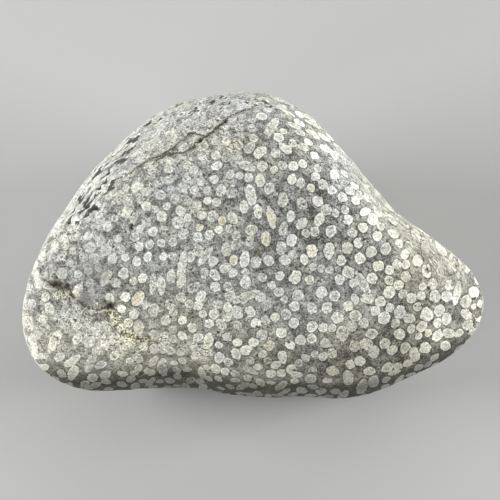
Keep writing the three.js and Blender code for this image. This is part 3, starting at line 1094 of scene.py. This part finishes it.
@dataclass
class CoralPebble:
    """The whole pebble as one closed mesh, with its weathering and its bed of corallites."""

    form: PebbleForm = field(default_factory=PebbleForm)
    weathering: Weathering = field(default_factory=Weathering)
    bed: CoralliteBed = field(default_factory=CoralliteBed)
    finish: CoralStone = field(default_factory=CoralStone)
    steps: int = 128
    proportions: tuple[float, float, float] = (114.0, 72.0, 53.0)  # length, width and thickness
    crowding: float = 0.3  # how strongly the grid gathers on the upper side
    lump: float = 0.35
    lump_waves: Waves = Waves(1, 14.0, 40.0)
    ripple: float = 0.07
    ripple_waves: Waves = Waves(2, 3.0, 8.0, 40)
    sparse_share: float = 0.3  # the extra spacing of corallites where they are blurred
    sparse_turn: tuple[float, float] = (0.1, 0.4)  # the normal's Z over which that spacing sets in
    upward_turn: tuple[float, float] = (0.1, 0.45)  # the normal's Z over which weathering sets in
    free_heights: tuple[float, float] = (0.3, 3.0)  # above the floor, where relief sets in
    brink_heights: tuple[float, float] = (22.0, 28.0)  # where blur and the painted shade patches go on over steep sides
    # Painted shade darkens the lower sides, most of all low on the near side; these set where and how much.
    near_heights: tuple[float, float] = (39.0, 30.0)  # where the near side darkens
    near_turn: tuple[float, float] = (0.0, -0.35)
    near_shade: float = 0.09
    right_shade: float = 0.35  # added to it towards the +X end
    right_span: tuple[float, float] = (-20.0, 10.0)
    nose_span: tuple[float, float] = (46.0, 36.0)  # along X, where the near side's dark dies out
    brim_heights: tuple[float, float] = (29.5, 19.5)  # where the lower rim is darkest
    brim_turn: tuple[float, float] = (-0.5, -0.85)
    under_shade: float = 0.55
    under_heights: tuple[float, float] = (25.0, 13.0)  # where every side darkens
    girth: float = 45.0  # the radius that turns an angle around the rim into a length
    bake_margin: float = 0.01
    bake_rows: tuple[float, ...] = (0.0, 0.44, 0.74, 1.0)

    def grid(self) -> tuple[np.ndarray, np.ndarray, np.ndarray]:
        """Directions of a cube sphere: six grids of tan(u), tan(v), stretched to the box and welded.

        Returns:
            Unit directions of the welded grid, the four corner numbers of each face, and each face
            corner's place on the bake map.
        """
        even = np.tan(np.linspace(-1.0, 1.0, self.steps + 1) * math.pi / 4.0)
        u, v = np.meshgrid(even, even, indexing="ij")
        one = np.ones_like(u)
        sides = np.array(
            [
                np.stack(side, axis=-1)
                for side in (
                    (-v, u, one), (v, u, -one), (-u, one, v), (u, -one, v), (one, u, v), (-one, -u, v),
                )
            ]
        )  # fmt: skip
        numbers = np.arange(sides[..., 0].size).reshape(sides.shape[:3])
        quads = np.stack(
            [numbers[:, :-1, :-1], numbers[:, 1:, :-1], numbers[:, 1:, 1:], numbers[:, :-1, 1:]], axis=-1
        ).reshape(-1, 4)
        flat = np.round(unit(sides.reshape(-1, 3)), 9)
        welded, back = np.unique(flat, axis=0, return_inverse=True)
        span = np.linspace(self.bake_margin, 1.0 - self.bake_margin, self.steps + 1)
        across, down = np.meshgrid(span, span, indexing="ij")
        places = np.empty(sides.shape[:3] + (2,))
        for side in range(len(sides)):
            row, column = divmod(side, 2)
            low, high = self.bake_rows[row], self.bake_rows[row + 1]
            places[side, ..., 0] = (column + across) / 2.0
            places[side, ..., 1] = low + (high - low) * down
        return unit(welded), back.reshape(-1)[quads], places.reshape(-1, 2)[quads]

    def fitted(self, points: np.ndarray) -> np.ndarray:
        """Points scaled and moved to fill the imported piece's box, cut flat where the pebble rests.

        Args:
            points: Places in millimetres from the middle of the widest level.

        Returns:
            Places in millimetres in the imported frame.
        """
        low, high = (np.array(corner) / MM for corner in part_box(NODE))
        floor = self.form.crown_rise - (high - low)[2]
        points = points.copy()
        points[:, 2] = np.maximum(points[:, 2], floor)
        least, most = points.min(axis=0), points.max(axis=0)
        return low + (points - least) * (high - low) / (most - least)

    @staticmethod
    def normals(points: np.ndarray, quads: np.ndarray) -> tuple[np.ndarray, np.ndarray, np.ndarray]:
        """Unit normals of the vertices and the faces, and the faces' areas, from crossed diagonals.

        Args:
            points: The vertices.
            quads: The four corner numbers of each face.

        Returns:
            The vertices' normals, the faces' normals and the faces' areas.
        """
        a, b, c, d = (points[quads[:, corner]] for corner in range(4))
        crossed = np.cross(c - a, d - b) / 2.0
        areas = np.linalg.norm(crossed, axis=1)
        summed = np.zeros_like(points)
        for corner in range(4):
            for axis in range(3):
                summed[:, axis] += np.bincount(quads[:, corner], crossed[:, axis], len(points))
        return unit(summed), unit(crossed), areas

    def build(self) -> bpy.types.Object:
        """Makes the mesh, its attributes and its bake map.

        Returns:
            The pebble's object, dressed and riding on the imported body.
        """
        directions, quads, bake_places = self.grid()
        directions = directions * np.array(self.proportions)
        directions = unit(unit(directions) + np.array([0.0, 0.0, self.crowding]))
        smooth = self.fitted(self.form.surface(directions))
        normals, _, _ = self.normals(smooth, quads)
        upward = smooth_step(*self.upward_turn, normals[:, 2])
        free = smooth_step(*self.free_heights, smooth[:, 2])
        swell = self.lump * self.lump_waves.at(smooth) + self.ripple * self.ripple_waves.at(smooth)
        sunk = self.weathering.relief(smooth, upward)
        points = self.fitted(smooth + normals * ((swell - sunk) * free)[:, None])

        _, face_normals, areas = self.normals(points, quads)
        middles = points[quads].mean(axis=1)
        sparse = self.sparse_share * self.weathering.haze(middles)
        sparse = sparse * smooth_step(*self.sparse_turn, face_normals[:, 2])
        self.bed.plant(middles, face_normals, areas, sparse)
        near, next_near = self.bed.nearest_two(middles)
        LOG.info("corallites: %d", len(self.bed.places))

        mesh = self.mesh(points, quads, bake_places)
        corners = points[quads]
        for label, which in (("near", near), ("next", next_near)):
            measure, traits = self.bed.corner_measure(corners, which)
            self.store(mesh, "cup_" + label, "CORNER", measure)
            self.store(mesh, "traits_" + label, "CORNER", traits)
        for name, values in self.fields(smooth, normals, upward).items():
            self.store(mesh, name, "POINT", np.stack(values, axis=1))
        mesh.materials.append(self.finish.material())
        piece = bpy.data.objects.new("coral_surface", mesh)
        bpy.context.scene.collection.objects.link(piece)
        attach(piece, BODY)
        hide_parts(NODE)
        return piece

    @staticmethod
    def mesh(points: np.ndarray, quads: np.ndarray, bake_places: np.ndarray) -> bpy.types.Mesh:
        """Makes the mesh and its bake map.

        Args:
            points: The vertices, in millimetres.
            quads: The four corner numbers of each face.
            bake_places: Each face corner's place on the bake map.

        Returns:
            The mesh, in metres.
        """
        mesh = bpy.data.meshes.new("coral_surface")
        mesh.vertices.add(len(points))
        mesh.vertices.foreach_set("co", (points * MM).astype(np.float32).ravel())
        mesh.loops.add(quads.size)
        mesh.loops.foreach_set("vertex_index", quads.astype(np.int32).ravel())
        mesh.polygons.add(len(quads))
        mesh.polygons.foreach_set("loop_start", np.arange(0, quads.size, 4, dtype=np.int32))
        mesh.polygons.foreach_set("loop_total", np.full(len(quads), 4, dtype=np.int32))
        mesh.polygons.foreach_set("use_smooth", np.ones(len(quads), dtype=bool))
        mesh.update(calc_edges=True)
        mesh.validate()
        bake = mesh.uv_layers.new(name="OFBake")
        bake.data.foreach_set("uv", bake_places.astype(np.float32).ravel())
        return mesh

    def painted_low_shade(self, smooth: np.ndarray, normals: np.ndarray) -> np.ndarray:
        """How much painted shade darkens the lower sides, most of all low on the near side.

        Args:
            smooth: Places on the smooth form, in millimetres.
            normals: Outward unit normals there.

        Returns:
            One strength for each place.
        """
        x, height, turn = smooth[:, 0], smooth[:, 2], normals[:, 1]
        near_side = smooth_step(*self.near_heights, height) * smooth_step(*self.near_turn, turn)
        brim = smooth_step(*self.brim_heights, height) * smooth_step(*self.brim_turn, turn)
        painted_low_shade = near_side * (self.near_shade + self.right_shade * smooth_step(*self.right_span, x))
        painted_low_shade = np.maximum(painted_low_shade * smooth_step(*self.nose_span, x), brim)
        return np.maximum(painted_low_shade, self.under_shade * smooth_step(*self.under_heights, height))

    def fields(
        self, smooth: np.ndarray, normals: np.ndarray, upward: np.ndarray
    ) -> dict[str, tuple[np.ndarray, ...]]:
        """The strengths that the finish reads at each vertex.

        Args:
            smooth: Places on the smooth form, in millimetres.
            normals: Outward unit normals there.
            upward: How far each place faces up, 0 to 1.

        Returns:
            Three values for each vertex, under the name that the finish reads them by.
        """
        weathering = self.weathering
        turn = np.arctan2(smooth[:, 0], smooth[:, 1])  # its seam lies on the near side
        edge = self.form.plan_radius(np.arctan2(smooth[:, 1], smooth[:, 0]))
        inside = edge - np.hypot(smooth[:, 0], smooth[:, 1])
        brink = smooth_step(*self.brink_heights, smooth[:, 2])
        # Paler where worn and where light is painted: steep sides and listed patches, less the painted shade
        # patches.
        worn_and_lit = np.maximum(1.0 - np.abs(normals[:, 2]), together(weathering.worn_and_lit, smooth) * upward)
        worn_and_lit -= together(weathering.painted_shade_patches, smooth) * np.maximum(upward, brink)
        placed = (weathering.flakes, weathering.pits, weathering.stain)
        return {
            "wear": (
                weathering.haze(smooth) * np.maximum(upward, brink),
                together(weathering.pale, smooth) * upward,
                together(weathering.bare, smooth) * upward,
            ),
            "marks": tuple(together(group, smooth) * upward for group in placed),
            "shade": (self.painted_low_shade(smooth, normals), worn_and_lit, together(weathering.streaks, smooth) * upward),
            "lamina": (turn * self.girth, inside, smooth[:, 2]),
            "fissure_reach": tuple(fissure.reach(smooth) * upward for fissure in weathering.fissures),
            "fissure_gap": tuple(fissure.gap(smooth) for fissure in weathering.fissures),
        }

    @staticmethod
    def store(mesh: bpy.types.Mesh, name: str, domain: str, values: np.ndarray) -> None:
        """Adds a vector attribute to a mesh."""
        layer = mesh.attributes.new(name, "FLOAT_VECTOR", domain)
        layer.data.foreach_set("vector", values.astype(np.float32).ravel())


@dataclass(frozen=True)
class Lamp:
    """A soft square lamp: its name, where it stands, its side and its power."""

    name: str
    place: tuple[float, float, float]
    side: float
    power: float

    def build(self, aim: tuple[float, float, float]) -> None:
        """Makes the lamp.

        Args:
            aim: The place that it faces, in metres.
        """
        data = bpy.data.lights.new(self.name, "AREA")
        data.size = self.side
        data.energy = self.power
        lamp = bpy.data.objects.new(self.name, data)
        lamp.matrix_world = look(self.place, aim)
        bpy.context.scene.collection.objects.link(lamp)


def look(place: tuple[float, float, float], aim: tuple[float, float, float]) -> Matrix:
    """The matrix of an object whose -Z axis points at the aim and whose +Y is upward.

    Args:
        place: Where the object stands.
        aim: The place that it faces.

    Returns:
        The object's world matrix.
    """
    way = Vector(aim) - Vector(place)
    turned = way.to_track_quat("-Z", "Y").to_matrix().to_4x4()
    return Matrix.Translation(Vector(place)) @ turned


@dataclass(frozen=True)
class Studio:
    """A plain pale floor, soft lamps and the camera."""

    elevation: float = 74.0  # degrees above the horizon
    distance: float = 0.6
    aim: tuple[float, float, float] = (-0.00093, -0.00123, 0.02569)
    seen_width: float = 0.1249  # what the picture's side spans at the aim
    sensor: float = 36.0  # millimetres
    nearest: float = 0.01  # nothing closer to the camera than this is drawn
    floor_side: float = 3.0
    floor_grey: Colour = (0.4, 0.4, 0.39, 1.0)
    floor_roughness: float = 0.9
    lamps: tuple[Lamp, ...] = (
        Lamp("left", (-0.705, 0.0, 0.26), 0.4, 8.4),
        Lamp("right", (0.705, 0.0, 0.26), 0.4, 7.6),
        Lamp("behind", (0.0, 0.705, 0.26), 0.4, 2.1),
        Lamp("right_behind", (0.45, 0.55, 0.26), 0.4, 1.9),
        Lamp("left_before", (-0.5, -0.5, 0.27), 0.4, 2.1),
    )
    sky: float = 0.17
    sky_colour: Colour = (0.9, 0.95, 1.0, 1.0)

    def build(self) -> None:
        """Makes the floor, the lamps, the world and the camera."""
        scene = bpy.context.scene
        side = self.floor_side / 2.0
        mesh = bpy.data.meshes.new("floor")
        corners = [(-side, -side, 0), (side, -side, 0), (side, side, 0), (-side, side, 0)]
        mesh.from_pydata(corners, [], [(0, 1, 2, 3)])
        floor = bpy.data.objects.new("floor", mesh)
        s = Shader("floor_paper")
        looks = {"Base Color": self.floor_grey, "Roughness": self.floor_roughness}
        paper = s.node("ShaderNodeBsdfPrincipled", {}, looks)
        s.node("ShaderNodeOutputMaterial", {}, {"Surface": paper})
        mesh.materials.append(s.material)
        scene.collection.objects.link(floor)
        for lamp in self.lamps:
            lamp.build(self.aim)
        world = bpy.data.worlds.new("soft_room")
        world.use_nodes = True
        background = world.node_tree.nodes["Background"]
        background.inputs["Color"].default_value = self.sky_colour
        background.inputs["Strength"].default_value = self.sky
        scene.world = world
        scene.view_settings.view_transform = "Standard"
        tilt = math.radians(self.elevation)
        place = (
            self.aim[0],
            self.aim[1] - self.distance * math.cos(tilt),
            self.aim[2] + self.distance * math.sin(tilt),
        )
        data = bpy.data.cameras.new("camera")
        data.sensor_width = self.sensor
        data.lens = self.sensor * self.distance / self.seen_width
        data.clip_start = self.nearest
        camera = bpy.data.objects.new("camera", data)
        camera.matrix_world = look(place, self.aim)
        scene.collection.objects.link(camera)
        scene.camera = camera


def main() -> None:
    logging.basicConfig(level=logging.INFO, format="%(message)s")
    pebble = CoralPebble().build()
    LOG.info("%s: %d faces", pebble.name, len(pebble.data.polygons))
    Studio().build()


if __name__ == "__main__":
    main()
